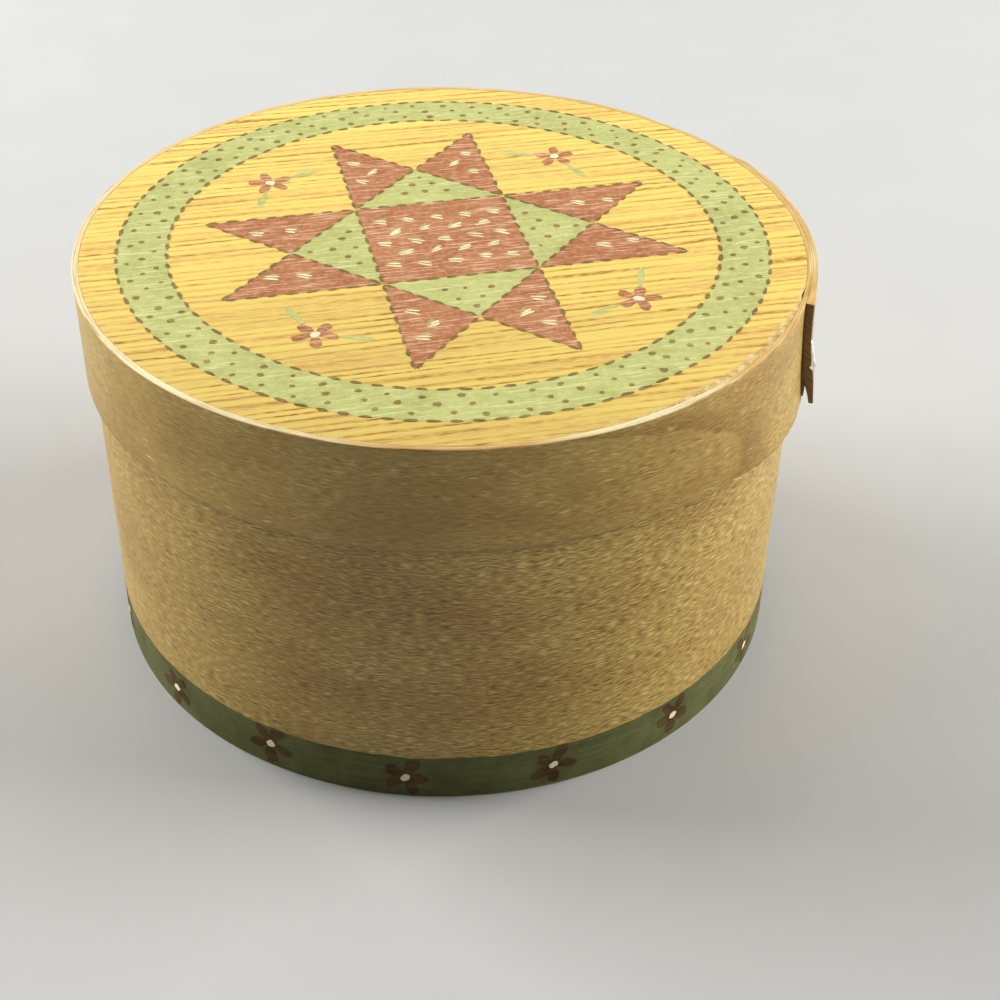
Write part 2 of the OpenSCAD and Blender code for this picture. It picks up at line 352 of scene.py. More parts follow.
# Craft acrylic, brushed thin over the veneer: matt, a little cloudy, with paler lines where the grain shows.
# The strokes follow the lid's grain, or run level round the side. Low on the side it is chipped to bare wood.
lidStrokes = {"turn": grainAngle, "sizes": (8, 0.46, 10), "dust": 0.4}
sideStrokes = {"turn": 0, "sizes": (30, 30, 0.8), "dust": 0.1}
paints = {"sageAcrylic": {"deep": "#ADAF68", "body": "#BFC178", "line": "#DFDDA0", "shown": 0.75},
          "brickAcrylic": {"deep": "#A26440", "body": "#B3784E", "line": "#E6BA98", "shown": 0.9},
          "umberAcrylic": {"deep": "#6F5B32", "body": "#857044", "line": "#AB9762", "shown": 0.7},
          "fawnAcrylic": {"deep": "#7C6235", "body": "#957A48", "line": "#B5A86C", "shown": 0.8},
          "sprigAcrylic": {"deep": "#A98F58", "body": "#B8A56A", "line": "#CDBB82", "shown": 0.6},
          "creamAcrylic": {"deep": "#E9E0B0", "body": "#F3ECC4", "line": "#DDD096", "shown": 0.5},
          "oliveAcrylic": {"deep": "#505131", "body": "#62643E", "line": "#797A50", "shown": 0.3,
                           "chipTop": 1.3},
          "chestnutAcrylic": {"deep": "#432C19", "body": "#5B4B2C", "line": "#645E38", "shown": 0.5}}


def brushedAcrylic(name, look, strokes):
    cloudSize = 9 * mm
    mottleSize = 1.6 * mm
    chipSize = 9 * mm
    material, add, shader = newMaterial(name, {"Roughness": 0.7, "Specular IOR Level": 0.08})
    place = add("TexCoord").outputs["Object"]
    along = add("Mapping", {"Rotation": (0, 0, -math.radians(strokes["turn"]))}, {"Vector": place})
    cloud = add("TexNoise", {"Scale": 1 / cloudSize, "Detail": 5, "Roughness": 0.65}, {"Vector": place})
    coat = add("ValToRGB", {"stops": [(0.35, look["deep"]), (0.62, look["body"])]}, {"Fac": cloud})
    mottle = add("TexNoise", {"Scale": 1 / mottleSize, "Detail": 4, "Roughness": 0.7}, {"Vector": place})
    dust = add("MapRange", {"From Min": 0.46, "From Max": 0.7, "To Max": strokes["dust"]}, {"Value": mottle})
    dusty = add("Mix", {7: linear(look["line"])}, {0: dust, 6: coat})
    space = add("Mapping", {"Scale": [1 / (size * mm) for size in strokes["sizes"]]}, {"Vector": along})
    lines = add("TexNoise", {"Scale": 1, "Detail": 2.5, "Roughness": 0.6}, {"Vector": space})
    worn = add("MapRange", {"From Min": 0.55, "From Max": 0.64, "To Max": look["shown"]}, {"Value": lines})
    colour = add("Mix", {7: linear(look["line"])}, {0: worn, 6: dusty})
    if "chipTop" in look:
        level = add("SeparateXYZ", {}, {0: place}).outputs["Z"]
        low = add("MapRange", {"From Max": look["chipTop"] * mm, "To Min": 0.12, "To Max": -0.2},
                  {"Value": level})
        spots = add("TexNoise", {"Scale": 1 / chipSize, "Detail": 4}, {"Vector": place})
        chance = add("Math", {"operation": "ADD"}, {0: spots, 1: low})
        chips = add("MapRange", {"From Min": 0.74, "From Max": 0.76}, {"Value": chance})
        colour = add("Mix", {7: linear("#CDC298")}, {0: chips, 6: colour})
    bump = add("Bump", {"Strength": 0.25, "Distance": 0.05 * mm}, {"Height": lines})
    linkInputs(shader, {"Base Color": colour, "Normal": bump})
    return material


# Galvanised steel wire, drawn bright: clear reflections, with duller patches.
def brightWire():
    patchSize = 0.6 * mm
    material, add, shader = newMaterial("brightWire", {"Metallic": 1, "Roughness": 0.3})
    place = add("TexCoord").outputs["Object"]
    rub = add("TexNoise", {"Scale": 1 / patchSize, "Detail": 3}, {"Vector": place})
    colour = add("ValToRGB", {"stops": [(0.35, "#C4BEAF"), (0.65, "#EAE5D8")]}, {"Fac": rub})
    gloss = add("MapRange", {"To Min": 0.22, "To Max": 0.45}, {"Value": rub})
    linkInputs(shader, {"Base Color": colour, "Roughness": gloss})
    return material


# what the camera, gloss and glass see of the studio, and how much light it gives
backdrop = {"colour": "#F4F4F2", "seen": 0.9, "light": 0.06, "fadeStart": 0.5, "fadeEnd": 0.9}


def seenRays(add):
    rays = add("LightPath")
    direct = add("Math", {"operation": "ADD"},
                 {0: rays.outputs["Is Camera Ray"], 1: rays.outputs["Is Glossy Ray"]})
    return add("Math", {"operation": "ADD", "use_clamp": True},
               {0: direct, 1: rays.outputs["Is Transmission Ray"]})


# Seamless studio paper: pale, matt and very slightly uneven, and far off it is lost in the backdrop.
def studioPaper():
    unevenSize = 40 * mm
    material, add, shader = newMaterial("studioPaper", {"Roughness": 0.9, "Specular IOR Level": 0.1})
    place = add("TexCoord").outputs["Object"]
    uneven = add("TexNoise", {"Scale": 1 / unevenSize, "Detail": 4}, {"Vector": place})
    colour = add("ValToRGB", {"stops": [(0.3, "#C0C0BD"), (0.7, "#C3C3C0")]}, {"Fac": uneven})
    linkInputs(shader, {"Base Color": colour})
    reach = add("VectorMath", {"operation": "LENGTH"}, {0: place})
    far = add("MapRange", {"interpolation_type": "SMOOTHSTEP", "From Min": backdrop["fadeStart"],
                           "From Max": backdrop["fadeEnd"]}, {"Value": reach})
    lost = add("Math", {"operation": "MULTIPLY"}, {0: far, 1: seenRays(add)})
    glow = add("Emission", {"Color": linear(backdrop["colour"]), "Strength": backdrop["seen"]})
    mixed = add("MixShader", {}, {0: lost, 1: shader, 2: glow})
    linkInputs(material.node_tree.nodes["Material Output"], {"Surface": mixed})
    return material


# the strips: painted shade lies along the rim's lower edge and on the side just below it
veneer = {"thickness": 1.5, "jointLength": 12}
sideBend = sideRadius - veneer["thickness"] / 2  # radius of the middle of the bent side
sideLength = 2 * math.pi * sideBend + veneer["jointLength"]
sideLook = {"contrast": (1.05, 1.75), "cloud": (60, 26, 2), "fleckRise": (160, 320),
            "shadeLevel": rimLow.z + veneer["thickness"], "shadeWidth": 3, "shadeDepth": 0.4,
            "stain": (sideLength - 1.5, sideLength)}
rimLook = {"contrast": (0.5, 1.05), "cloud": (34, 17, 3), "fleckRise": (340, 520),
           "shadeLevel": veneer["thickness"], "shadeWidth": 0.9, "shadeDepth": 0.5, "stain": (3, 0),
           "tide": (440, 8.5, 85, 21.7), "chips": (527, 26, 2)}
lidWood = ashVeneer(boardHigh.y * mm)
sideWood = birchVeneer("birchVeneer", sideLook)
rimWood = birchVeneer("fineBirchVeneer", rimLook)
endWood = stainedShadedEndGrain()
plyWood = barePly()
paint = {}
for name, look in paints.items():
    strokes = sideStrokes if name in ("oliveAcrylic", "chestnutAcrylic") else lidStrokes
    paint[name] = brushedAcrylic(name, look, strokes)
wireSteel = brightWire()
print("materials ready")


# bent strips

# a flat strip lying along +X with its outer face on +Y, carrying its flat shape as a UV map
def flatStrip(length, height, shape):
    bm = bmesh.new()
    bmesh.ops.create_cube(bm, size=1)
    bmesh.ops.translate(bm, vec=(0.5, 0.5, 0.5), verts=bm.verts)
    bmesh.ops.scale(bm, vec=(length, veneer["thickness"], height), verts=bm.verts)
    bmesh.ops.bevel(bm, geom=bm.edges[:], offset=shape["rounding"], affect="EDGES", segments=2, profile=0.5,
                    material=-1)
    for axis, size, cuts in ((0, length, shape["lengthCuts"]), (2, height, shape["heightCuts"])):
        longEdges = [e for e in bm.edges if abs(e.verts[0].co[axis] - e.verts[1].co[axis]) > size / 2]
        bmesh.ops.subdivide_edges(bm, edges=longEdges, cuts=cuts, use_grid_fill=True)
    flat = bm.loops.layers.uv.new("strip")
    for face in bm.faces:
        facing = -1 if face.calc_center_median().y < shape["rounding"] else 1  # keeps the dirt outside
        for loop in face.loops:
            x, y, z = loop.vert.co
            loop[flat].uv = (x * mm, facing * (z + y) * mm)
    return bm


# bends the strip round the box's axis: x runs round, and radiusAt gives each point's distance from the axis
def bendStrip(bm, startAngle, bendRadius, bottom, radiusAt):
    for v in bm.verts:
        angle = startAngle + math.degrees(v.co.x / bendRadius)
        v.co = (*onCircle(radiusAt(*v.co), angle), bottom + v.co.z)
    bmesh.ops.reverse_faces(bm, faces=bm.faces)  # the bend turns the strip inside out


# adds a flat wire to a bmesh: corners are places with the way its broad side lies, and it is bent round each
def bendWire(bm, corners, wire):
    stations = [corners[0]]
    for (before, _), (corner, broad), (after, _) in zip(corners, corners[1:], corners[2:]):
        start = corner + (before - corner).normalized() * wire["bend"]
        end = corner + (after - corner).normalized() * wire["bend"]
        for t in (0, 0.25, 0.5, 0.75, 1):
            stations.append((start.lerp(corner, t).lerp(corner.lerp(end, t), t), broad))
    stations.append(corners[-1])
    made = bmesh.ops.create_circle(bm, cap_ends=True, segments=wire["sides"], radius=0.5)["verts"]
    face = made[0].link_faces[0]
    last = Matrix()
    for i, (spot, broad) in enumerate(stations):
        ahead = (stations[min(i + 1, len(stations) - 1)][0] - stations[max(i - 1, 0)][0]).normalized()
        across = (broad - ahead * broad.dot(ahead)).normalized()
        turned = Matrix((across, ahead.cross(across), ahead)).transposed().to_4x4()
        place = Matrix.Translation(spot) @ turned @ Matrix.Diagonal((wire["wide"], wire["thick"], 1, 1))
        if i > 0:
            grown = bmesh.ops.extrude_face_region(bm, geom=[face, *face.edges, *face.verts])["geom"]
            face = [g for g in grown if isinstance(g, bmesh.types.BMFace)][0]
        bmesh.ops.transform(bm, matrix=place @ last.inverted(), verts=face.verts[:])
        last = place


# Side of the box: its ends are thinned and glued over each other at the back
sideStrip = {"rounding": 0.3, "lengthCuts": 360, "heightCuts": 8, "jointAngle": 100, "glueLine": 0.08,
             "feather": 0.15, "featherLift": 0.2, "paintFill": 0.8}
jointStart = sideStrip["jointAngle"] - math.degrees(veneer["jointLength"] / 2 / sideBend)


# how far the side's outer end stands up, along the joint from 0 to 1 at its tip
def featherRise(along):
    return sideStrip["featherLift"] * along ** 3


# the same by angle: paint on the side follows it and fills the step at the tip
def jointRise(angle):
    along = math.radians((angle - jointStart) % 360) * sideBend / veneer["jointLength"]
    filled = 1 + sideStrip["paintFill"] / veneer["jointLength"]
    return featherRise(min(along, 1)) if along <= filled else 0


def makeSide(shape):
    thickness = veneer["thickness"]
    joint = veneer["jointLength"]
    inner = sideRadius - thickness

    def radiusAt(x, y, z):
        if x < joint:  # the covered end thins towards its tip
            return inner + y * max(x / joint, shape["feather"])
        if x > sideLength - joint:  # the outer end thins from inside
            along = (x - sideLength + joint) / joint
            low = inner + thickness * min(along, 1 - shape["feather"]) + shape["glueLine"] * (1 - along)
            return low + y / thickness * (sideRadius - low) + featherRise(along)
        return inner + y

    bm = flatStrip(sideLength, sideHigh.z, shape)
    bendStrip(bm, jointStart, sideBend, 0, radiusAt)
    newPiece("sideBand", bm, "box", [sideWood], ["body_band"])


# Rim of the lid: it laps far over itself, thinned there, and flares near the lap. The outer end has swollen,
# more so below, and has split at the bottom: the outer part has sprung away and a thin ply stays behind.
rimStrip = {"rounding": 0.22, "lengthCuts": 420, "heightCuts": 14, "outerEnd": -20.6, "coveredEnd": 30.4,
            "slopeStart": 27.2, "slopeEnd": 31, "glueLine": 0.06, "lapThin": 0.2, "thinReach": 10,
            "endReach": 12, "swell": 0.75, "swellLow": 0.95, "swellTop": 17, "swellRun": 12, "splitGap": 1.7,
            "splitTop": 9, "flare": 3.0, "flareAngle": -33, "flareSpread": 20, "flareCurve": 1.5,
            "edgeWander": 0.12, "fray": 0.8, "frayAngle": -29, "fraySpread": 7, "frayWave": 2.5,
            "fraySeed": 3}
splitPly = {"rounding": 0.1, "lengthCuts": 8, "heightCuts": 4, "length": 11, "bottom": 1.7, "height": 6.8,
            "share": 0.3}

# Staples of flat wire, one near each end of the lap. Their corners are placed along the strip, outwards and
# up, with how far the broad side turns outwards. The outer one is half pulled out and hooks round the end.
rimStaples = {"wide": 1.3, "thick": 0.6, "bend": 0.5, "sides": 12,
              "outer": [(1.2, -1.2, 16.7, 0), (1.1, -0.1, 16.7, 0), (0.2, 0.3, 10.6, 0.8),
                        (-0.5, -0.4, 10, 0.8)],
              "inner": [(71.6, -1, 16.7, 0), (71.6, 0.2, 16.7, 0), (71.6, 0.2, 10.3, 0),
                        (71.6, -1, 10.3, 0)]}


def makeRim(shape, ply, staples):
    thickness = veneer["thickness"]
    inner = rimRadius - thickness
    bendRadius = rimRadius - thickness / 2
    turn = 360 + shape["coveredEnd"] - shape["outerEnd"]
    length = math.radians(turn) * bendRadius
    lapStart = math.radians(360) * bendRadius  # where the strip runs in under its own outer end
    height = rimHigh.z - rimLow.z
    thinLayer = thickness * (1 - shape["lapThin"]) + shape["glueLine"]

    def angleAt(x):
        return shape["outerEnd"] + math.degrees(x / bendRadius)

    def flared(angle, z):
        fromFlare = ((angle - shape["flareAngle"] + 180) % 360 - 180) / shape["flareSpread"]
        return inner + shape["flare"] * math.exp(-fromFlare ** 2) * (1 - z / height) ** shape["flareCurve"]

    # 1 where the strip lies over itself, down to 0 past the slope, which the covered end is thinned to fill
    def lapAt(angle):
        return 1 - ease((angle - shape["slopeStart"]) / (shape["slopeEnd"] - shape["slopeStart"]))

    def radiusAt(x, y, z):
        angle = angleAt(x)
        covered = ease(1 + (angle - 360 - shape["outerEnd"]) / shape["thinReach"])
        lapped = lapAt(angle)
        nearEnd = ease(1 - x / shape["endReach"])
        swollen = shape["swell"] + shape["swellLow"] * ease((shape["swellTop"] - z) / shape["swellRun"])
        split = nearEnd * shape["splitGap"] * ease(1 - z / shape["splitTop"])
        share = 1 - shape["lapThin"] * (covered + lapped)
        layer = thickness * share * lapAt(angle - 360) + nearEnd * swollen - split
        return flared(angle, z) + thinLayer * lapped + split + y / thickness * layer

    def plyRadiusAt(x, y, z):
        return flared(angleAt(x), z + ply["bottom"]) + thinLayer + y * ply["share"]

    bm = flatStrip(length, height, shape)
    for face in bm.faces:
        middle = face.calc_center_median()
        if middle.z > height - shape["rounding"]:
            face.material_index = 1
        elif middle.x < shape["rounding"]:
            face.material_index = 2

    # the top meets the board and itself without a groove, and the lower edge wanders and frays near the lap
    edge = 1.5 * shape["rounding"]  # takes in all of a rounded edge
    for v in bm.verts:
        joined = v.co.y < edge or v.co.x > lapStart
        if joined and v.co.z > height - edge:
            v.co.z = height
        if v.co.z < edge:
            fromFray = (angleAt(v.co.x) - 360 - shape["frayAngle"]) / shape["fraySpread"]
            rough = shape["edgeWander"] + shape["fray"] * math.exp(-fromFray ** 2)
            v.co.z += rough * abs(noise.noise(Vector((v.co.x / shape["frayWave"], 0, shape["fraySeed"]))))
    bendStrip(bm, shape["outerEnd"], bendRadius, rimLow.z, radiusAt)
    edgeWood = rubbedEdge(shape["outerEnd"], turn, length)
    newPiece("lidRim", bm, "lid", [rimWood, edgeWood, endWood], ["lid_band"])

    sliver = flatStrip(ply["length"], ply["height"], ply)
    bendStrip(sliver, shape["outerEnd"], bendRadius, rimLow.z + ply["bottom"], plyRadiusAt)
    newPiece("lidSplitPly", sliver, "lid", [endWood])

    wires = bmesh.new()
    for route in (staples["outer"], staples["inner"]):
        corners = []
        for x, out, z, lean in route:
            outward = onCircle(1, angleAt(x)).to_3d()
            along = Vector((-outward.y, outward.x, 0))
            spot = outward * (radiusAt(max(x, 0), thickness, z) + out) + Vector((0, 0, rimLow.z + z))
            corners.append((spot, along.lerp(outward, lean)))
        bendWire(wires, corners, staples)
    bmesh.ops.recalc_face_normals(wires, faces=wires.faces)
    newPiece("lidStaples", wires, "lid", [wireSteel], ["lid_lap_staples"])


makeSide(sideStrip)
makeRim(rimStrip, splitPly, rimStaples)


# round boards: the lid's has a wavy edge with a small crack in it

boards = {"segments": 360, "rounding": 0.05, "edgeWander": 0.1, "edgeWave": 6, "seat": 0.08,
          "crackAngle": -18, "crackWidth": 1.1, "crackDepth": 0.4}


def roundBoard(low, high, wander):
    bm = bmesh.new()
    radius = high.y + boards["seat"]  # the edge reaches its rim
    bmesh.ops.create_circle(bm, cap_ends=True, segments=boards["segments"], radius=radius)
    for v in bm.verts:
        angle = math.degrees(math.atan2(v.co.y, v.co.x))
        fromCrack = (angle - boards["crackAngle"]) / boards["crackWidth"]
        inward = wander * (0.5 + 0.5 * noise.noise(v.co / boards["edgeWave"]))
        if wander:
            inward += boards["crackDepth"] * math.exp(-fromCrack ** 2)
        v.co *= 1 - inward / radius
        v.co.z = low.z
    raiseFaces(bm, high.z - low.z)
    ends = [e for e in bm.edges if e.verts[0].co.z == e.verts[1].co.z]
    bmesh.ops.bevel(bm, geom=ends, offset=boards["rounding"], affect="EDGES", segments=2, profile=0.5,
                    material=-1)
    return bm


lidBoard = roundBoard(boardLow, boardHigh, boards["edgeWander"])
newPiece("lidBoard", lidBoard, "lid", [lidWood], ["lid_disc"])
newPiece("bottomBoard", roundBoard(bottomLow, bottomHigh, 0), "box", [plyWood], ["bottom_disc"])


# paint, as thin closed films on the wood

film = {"sink": 0.03, "green": 0.04, "red": 0.06, "dots": 0.09, "strokes": 0.1, "dabWander": 0.3,
        "dabWaves": 2.5, "dabRough": 0.2, "dabRagged": 9, "patchGap": 0.008, "patchCuts": 11,
        "patchWave": 3.5}


# one flat dab of a brush, drawn thin towards its start where it has a taper
def paintDab(bm, centre, length, width, turn, taper=0, sides=12):
    made = bmesh.ops.create_circle(bm, cap_ends=True, cap_tris=True, segments=sides, radius=0.5)["verts"]
    spot = Vector((centre[0], centre[1], 0))
    for v in made:
        v.co.y *= 1 - taper * (0.5 - v.co.x)
        wander = film["dabWander"] * noise.noise(v.co * film["dabWaves"] + spot)
        rough = film["dabRough"] * noise.noise(v.co * film["dabRagged"] + spot)
        v.co *= 1 + wander + rough
    place = Matrix.Translation(spot) @ Matrix.Rotation(math.radians(turn), 4, "Z")
    bmesh.ops.transform(bm, matrix=place @ Matrix.Diagonal((length, width, 1, 1)), verts=made)


# one flat patch with hand-painted edges, a hair clear of its neighbours
def paintPatch(bm, corners, wander):
    spots = [Vector(corner).to_3d() for corner in corners]
    middle = sum(spots, Vector()) / len(spots)
    face = bm.faces.new([bm.verts.new(spot.lerp(middle, film["patchGap"])) for spot in spots])
    made = bmesh.ops.subdivide_edges(bm, edges=face.edges[:], cuts=film["patchCuts"], use_grid_fill=True)
    for v in made["geom"]:
        if isinstance(v, bmesh.types.BMVert):
            v.co += wander * noise.noise_vector(v.co / film["patchWave"]) * Vector((1, 1, 0))


# gives flat paint its thickness
def raiseFilm(bm, lift):
    for v in bm.verts:
        v.co.z = -film["sink"]
    raiseFaces(bm, lift + film["sink"])


# lays paint on the lid, turned with the grain
def layOnLid(name, bm, material, lift):
    raiseFilm(bm, lift)
    place = Matrix.Translation((0, 0, boardHigh.z)) @ Matrix.Rotation(math.radians(grainAngle), 4, "Z")
    bmesh.ops.transform(bm, matrix=place, verts=bm.verts)
    newPiece(name, bm, "lid", [material])


# Patchwork star on the lid: a nine-patch block with a ring border, stitched, dotted and dashed by brush
star = {"square": 38, "edgeWander": 0.3, "edgeWave": 4, "ringInner": 67.5, "ringOuter": 79.5,
        "ringSteps": 240, "ringDotRows": (70.2, 73.5, 76.8), "ringDotCount": 58, "dot": 1.55, "dotStep": 5.6,
        "dotMargin": 2.2, "stitchLong": 3, "stitchWide": 0.95, "stitchStep": 4.8, "strokeLong": 4,
        "strokeWide": 0.95, "strokeStep": 7.4, "strokeMargin": 2.4, "strokeTilt": 24,
        "strokeBeside": (0.15, 0.55), "strokeSpread": 4, "sprigLeafLong": 3.4, "sprigLeafWide": 1.7,
        "sprigLeafTurn": 35, "petalLong": 5.4, "petalWide": 3.4, "petalReach": 0.55, "leafLong": 9,
        "leafWide": 2.6, "leafReach": 9.5, "leafTurn": 115, "centre": 2.7, "seed": 11}


def starPatches(square):
    half = square / 2
    red = [[(-half, -half), (half, -half), (half, half), (-half, half)]]
    green = []
    for k in range(4):
        turn = Matrix.Rotation(k * math.pi / 2, 2)
        corners = {name: tuple(turn @ Vector(spot)) for name, spot in
                   {"left": (-half, half), "right": (half, half), "tip": (0, square),
                    "farLeft": (-half, 3 * half), "farRight": (half, 3 * half)}.items()}
        green.append([corners[c] for c in ("right", "tip", "left")])
        red.append([corners[c] for c in ("left", "tip", "farLeft")])
        red.append([corners[c] for c in ("right", "farRight", "tip")])
    return red, green


# points of a half-drop lattice that lie inside a patch, clear of its edges
def latticeIn(corners, step, margin):
    rowStep = 0.75 * step
    ends = [Vector(corner) for corner in corners]
    sides = [(ends[i - 1], end - ends[i - 1]) for i, end in enumerate(ends)]
    count = int(max(abs(c) for corner in corners for c in corner) / step) + 2
    found = []
    for row in range(-2 * count, 2 * count + 1):
        for column in range(-count, count + 1):
            spot = Vector((column * step + (row % 2) * step / 2, row * rowStep))
            if all(side.cross(spot - start) >= margin * side.length for start, side in sides):
                found.append((spot, row))
    return found


def paintPatches(shape, patches):
    bm = bmesh.new()
    for corners in patches:
        paintPatch(bm, corners, shape["edgeWander"])
    return bm


def paintRing(shape):
    ring = bmesh.new()
    profile = [ring.verts.new((r, 0, 0)) for r in (shape["ringInner"], shape["ringOuter"])]
    edge = ring.edges.new(profile)
    bmesh.ops.spin(ring, geom=[*profile, edge], axis=(0, 0, 1), cent=(0, 0, 0), angle=2 * math.pi,
                   steps=shape["ringSteps"], use_merge=True)
    for v in ring.verts:
        v.co *= 1 + shape["edgeWander"] * noise.noise(v.co / shape["edgeWave"]) / v.co.length
    return ring


# brown dots on the green
def paintDots(shape, green, rng):
    dots = bmesh.new()
    spots = []
    for corners in green:
        spots += [spot for spot, row in latticeIn(corners, shape["dotStep"], shape["dotMargin"])]
    for row, radius in enumerate(shape["ringDotRows"]):
        for k in range(shape["ringDotCount"]):
            angle = 360 * (k + row / 3 + rng.uniform(-0.1, 0.1)) / shape["ringDotCount"]
            spots.append(onCircle(radius, angle))
    for spot in spots:
        wide = shape["dot"] * rng.uniform(0.6, 1.1)
        paintDab(dots, (spot.x + rng.uniform(-0.5, 0.5), spot.y + rng.uniform(-0.5, 0.5)), wide * 1.15, wide,
                 rng.uniform(-30, 30), sides=10)
    return dots


# running stitches along each seam and both edges of the ring
def paintStitches(shape, patches, rng):
    stitches = bmesh.new()
    seams = {}  # holds each seam once, in order
    for corners in patches:
        for i, corner in enumerate(corners):
            ends = sorted((tuple(round(c, 3) for c in corners[i - 1]), tuple(round(c, 3) for c in corner)))
            seams[tuple(ends)] = True
    dashes = []
    for start, end in seams:
        along = Vector(end) - Vector(start)
        turn = math.degrees(math.atan2(along.y, along.x))
        count = max(round(along.length / shape["stitchStep"]), 1)
        for k in range(count):
            dashes.append((Vector(start) + along * (k + 0.5) / count, turn))
    for radius in (shape["ringInner"], shape["ringOuter"]):
        count = round(2 * math.pi * radius / shape["stitchStep"])
        for k in range(count):
            angle = 360 * k / count
            dashes.append((onCircle(radius, angle), angle + 90))
    for spot, turn in dashes:
        paintDab(stitches, spot, shape["stitchLong"] * rng.uniform(0.8, 1.15),
                 shape["stitchWide"] * rng.uniform(0.8, 1.15), turn + rng.uniform(-7, 7))
    return stitches


# cream sprigs of two strokes on the red, each with a small leaf
def paintSprigs(shape, red, rng):
    strokes = bmesh.new()
    leaves = bmesh.new()
    for corners in red:
        for spot, row in latticeIn(corners, shape["strokeStep"], shape["strokeMargin"]):
            tilt = rng.uniform(-9, 9) + (shape["strokeTilt"] if row % 2 else -shape["strokeTilt"])
            place = spot + Vector((rng.uniform(-0.5, 0.5), rng.uniform(-0.5, 0.5)))
            for side in (-1, 1):
                beside = place + side * Vector(shape["strokeBeside"])
                paintDab(strokes, beside, shape["strokeLong"] * rng.uniform(0.7, 1.1),
                         shape["strokeWide"] * rng.uniform(0.8, 1.2), tilt + side * shape["strokeSpread"],
                         taper=0.5, sides=10)
            paintDab(leaves, place + Vector((rng.uniform(-1, 0.6), rng.uniform(0.5, 1.2))),
                     shape["sprigLeafLong"], shape["sprigLeafWide"], tilt + shape["sprigLeafTurn"], taper=0.4,
                     sides=10)
    return strokes, leaves


# a small flower with two leaves on the bare wood of each corner square, its centre in the sprigs' cream
def paintCornerFlowers(shape, strokes, rng):
    petals = bmesh.new()
    leaves = bmesh.new()
    for k in range(4):
        corner = Matrix.Rotation(k * math.pi / 2, 2) @ Vector((shape["square"], shape["square"]))
        outward = math.degrees(math.atan2(corner.y, corner.x))
        for p in range(5):
            turn = outward + 36 + 72 * p + rng.uniform(-6, 6)
            spot = corner + onCircle(shape["petalReach"] * shape["petalLong"], turn)
            long = shape["petalLong"] * rng.uniform(0.9, 1.1)
            paintDab(petals, spot, long, shape["petalWide"], turn, taper=0.5)
        for side in (-1, 1):
            turn = outward + side * shape["leafTurn"]
            spot = corner + onCircle(shape["leafReach"], turn)
            paintDab(leaves, spot, shape["leafLong"], shape["leafWide"], turn, taper=0.6)
        paintDab(strokes, corner, shape["centre"], shape["centre"] * 0.85, outward)
    return petals, leaves


def paintLid(shape):
    rng = random.Random(shape["seed"])
    noise.seed_set(shape["seed"])  # patch edges wander the same way in each run
    red, green = starPatches(shape["square"])
    dots = paintDots(shape, green, rng)
    stitches = paintStitches(shape, red + green, rng)
    strokes, sprigLeaves = paintSprigs(shape, red, rng)
    petals, leaves = paintCornerFlowers(shape, strokes, rng)
    films = [("lidRedPatches", paintPatches(shape, red), "red_paint", "brickAcrylic", "red"),
             ("lidGreenPatches", paintPatches(shape, green), "green_paint", "sageAcrylic", "green"),
             ("lidRingBorder", paintRing(shape), "green_paint", "sageAcrylic", "green"),
             ("lidFlowerLeaves", leaves, "green_paint", "sageAcrylic", "green"),
             ("lidFlowerPetals", petals, "red_paint", "brickAcrylic", "red"),
             ("lidSprigLeaves", sprigLeaves, "green_paint", "sprigAcrylic", "dots"),
             ("lidBrownDots", dots, "brown_paint", "fawnAcrylic", "dots"),
             ("lidStitches", stitches, "brown_paint", "umberAcrylic", "strokes"),
             ("lidCreamStrokes", strokes, "cream_paint", "creamAcrylic", "strokes")]
    for name, bm, slot, colour, layer in films:
        layOnLid(name, bm, paint[colour], film[layer])


paintLid(star)


# Painted stripe round the foot of the box, with a row of small flowers
stripe = {"bottom": 0.35, "height": 13, "steps": 720, "edgeWander": 0.35, "edgeWave": 7, "flowerCount": 16,
          "firstFlower": -73.1, "flowerHeight": 6.8, "petalLong": 5.9, "petalWide": 4.3, "petalGap": 0.3,
          "firstPetal": 55, "centre": 2.5, "centreTurn": 20, "lift": 0.05, "petalLift": 0.1, "seed": 5,
          "centreLift": 0.14, "nudges": {1: (0.4, 0.6), 8: (4.5, 0), 14: (-1.5, 0.6), 15: (-1.4, -0.4)}}


def makeStripe(shape):
    bm = bmesh.new()
    spots = [(sideRadius - film["sink"], shape["bottom"]), (sideRadius + shape["lift"], shape["bottom"]),
             (sideRadius + shape["lift"], shape["height"]), (sideRadius - film["sink"], shape["height"])]
    profile = [bm.verts.new((r, 0, z)) for r, z in spots]
    edges = [bm.edges.new((profile[i - 1], profile[i])) for i in range(4)]
    bmesh.ops.spin(bm, geom=profile + edges, axis=(0, 0, 1), cent=(0, 0, 0), angle=2 * math.pi,
                   steps=shape["steps"], use_merge=True)
    for v in bm.verts:
        outward = Vector((v.co.x, v.co.y, 0)).normalized()
        v.co += outward * jointRise(math.degrees(math.atan2(outward.y, outward.x)))
        if v.co.z > shape["height"] / 2:
            v.co.z += shape["edgeWander"] * noise.noise(outward * sideRadius / shape["edgeWave"])
    bmesh.ops.recalc_face_normals(bm, faces=bm.faces)
    newPiece("footStripe", bm, "box", [paint["oliveAcrylic"]])


# lays paint on the side: modelled flat, with x along it, y up and z outwards, and then bent round it
def layOnSide(name, bm, material, lift):
    raiseFilm(bm, lift)
    for v in bm.verts:
        angle = math.degrees(v.co.x / sideRadius)
        v.co = (*onCircle(sideRadius + v.co.z + jointRise(angle), angle), v.co.y)
    newPiece(name, bm, "box", [material])


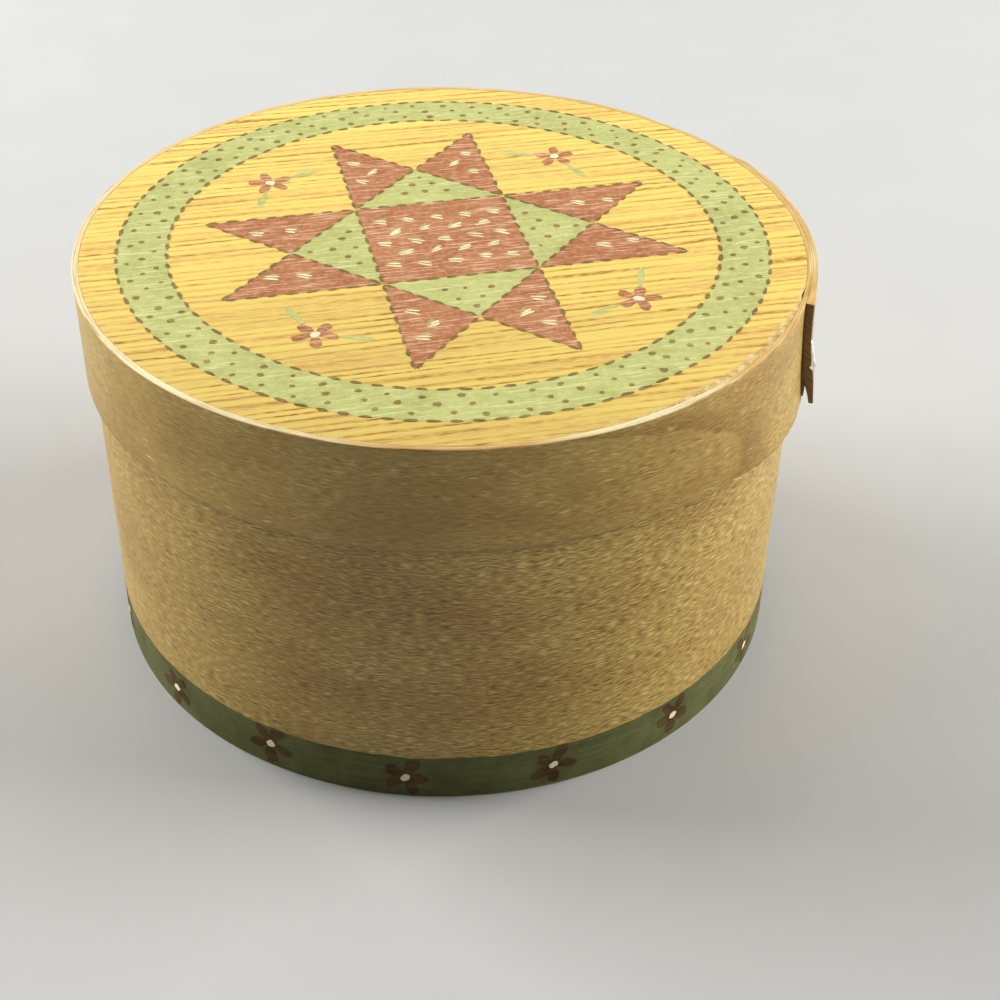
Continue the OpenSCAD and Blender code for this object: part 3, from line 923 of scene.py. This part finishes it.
def makeFootFlowers(shape):
    rng = random.Random(shape["seed"])
    petals = bmesh.new()
    centres = bmesh.new()
    for k in range(shape["flowerCount"]):
        angle = math.radians(shape["firstFlower"] + 360 / shape["flowerCount"] * k)
        middle = Vector((angle * sideRadius, shape["flowerHeight"] + rng.uniform(-0.3, 0.3)))
        middle += Vector(shape["nudges"].get(k, (0, 0)))  # set one by one, not evenly
        lean = rng.uniform(-15, 15)
        for p in range(5):
            turn = shape["firstPetal"] + lean + 72 * p + rng.uniform(-8, 8)
            long = shape["petalLong"] * rng.uniform(0.85, 1.1)
            spot = middle + onCircle(shape["petalGap"] + long / 2, turn)
            paintDab(petals, spot, long, shape["petalWide"] * rng.uniform(0.85, 1.1), turn, taper=0.55)
        paintDab(centres, middle, shape["centre"], shape["centre"] * 0.8, shape["centreTurn"] + lean)
    for v in petals.verts:  # the brush stops at the stripe's edges
        v.co.y = min(max(v.co.y, shape["bottom"]), shape["height"])
    layOnSide("footPetals", petals, paint["chestnutAcrylic"], shape["petalLift"])
    layOnSide("footFlowerCentres", centres, paint["creamAcrylic"], shape["centreLift"])


makeStripe(stripe)
makeFootFlowers(stripe)


# the side's staples and the pins keep their solids and get their metal
for node in ("body_lap_staples", "lid_pins", "bottom_pins"):
    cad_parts[node].data.materials.clear()
    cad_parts[node].data.materials.append(wireSteel)
print("metal set")


# camera, fitted to the rims and the stripe in the photograph
view = {"place": (0, -376.6, 308.2), "yaw": 2.246, "pitch": 37.1, "roll": 1.127, "lens": 62.03, "sensor": 36}
cameraData = bpy.data.cameras.new("camera")
cameraData.sensor_width = view["sensor"]
cameraData.lens = view["lens"]
cameraData.clip_start = 0.01
camera = bpy.data.objects.new("camera", cameraData)
camera.matrix_world = (Matrix.Translation(Vector(view["place"]) * mm)
                       @ Matrix.Rotation(-math.radians(view["yaw"]), 4, "Z")
                       @ Matrix.Rotation(math.radians(90 - view["pitch"]), 4, "X")
                       @ Matrix.Rotation(math.radians(view["roll"]), 4, "Z"))
scene.collection.objects.link(camera)
scene.camera = camera


# studio, in metres: pale paper floor, a large lamp above and behind, one at each side and a weak one in front
floorReach = 6
lampAim = Vector((0, 0, 0.06))
lamps = {"above": {"place": (-0.15, 0.75, 1.3), "size": 1.1, "power": 6.2},
         "left": {"place": (-1.45, 0.6, 0.6), "size": 1.1, "power": 47},
         "right": {"place": (1.5, 0.2, 0.6), "size": 1.1, "power": 42},
         "front": {"place": (0.3, -0.9, 1.0), "size": 0.5, "power": 0.6}}
for name, lamp in lamps.items():
    lampData = bpy.data.lights.new(name + "Lamp", "AREA")
    lampData.size = lamp["size"]
    lampData.energy = lamp["power"]
    lampObject = bpy.data.objects.new(name + "Lamp", lampData)
    lampObject.location = lamp["place"]
    aim = lampAim - lampObject.location
    lampObject.rotation_euler = aim.to_track_quat("-Z", "Y").to_euler()
    scene.collection.objects.link(lampObject)

floorMesh = bmesh.new()
bmesh.ops.create_grid(floorMesh, x_segments=4, y_segments=4, size=floorReach)
floorData = bpy.data.meshes.new("floor")
floorMesh.to_mesh(floorData)
floorMesh.free()
floorData.materials.append(studioPaper())
floor = bpy.data.objects.new("floor", floorData)
scene.collection.objects.link(floor)

world = bpy.data.worlds.new("studio")
world.use_nodes = True
scene.world = world
add = functools.partial(addNode, world.node_tree)
background = world.node_tree.nodes["Background"]
background.inputs["Color"].default_value = linear(backdrop["colour"])
level = add("MapRange", {"To Min": backdrop["light"], "To Max": backdrop["seen"]}, {"Value": seenRays(add)})
linkInputs(background, {"Strength": level})
print("studio ready")
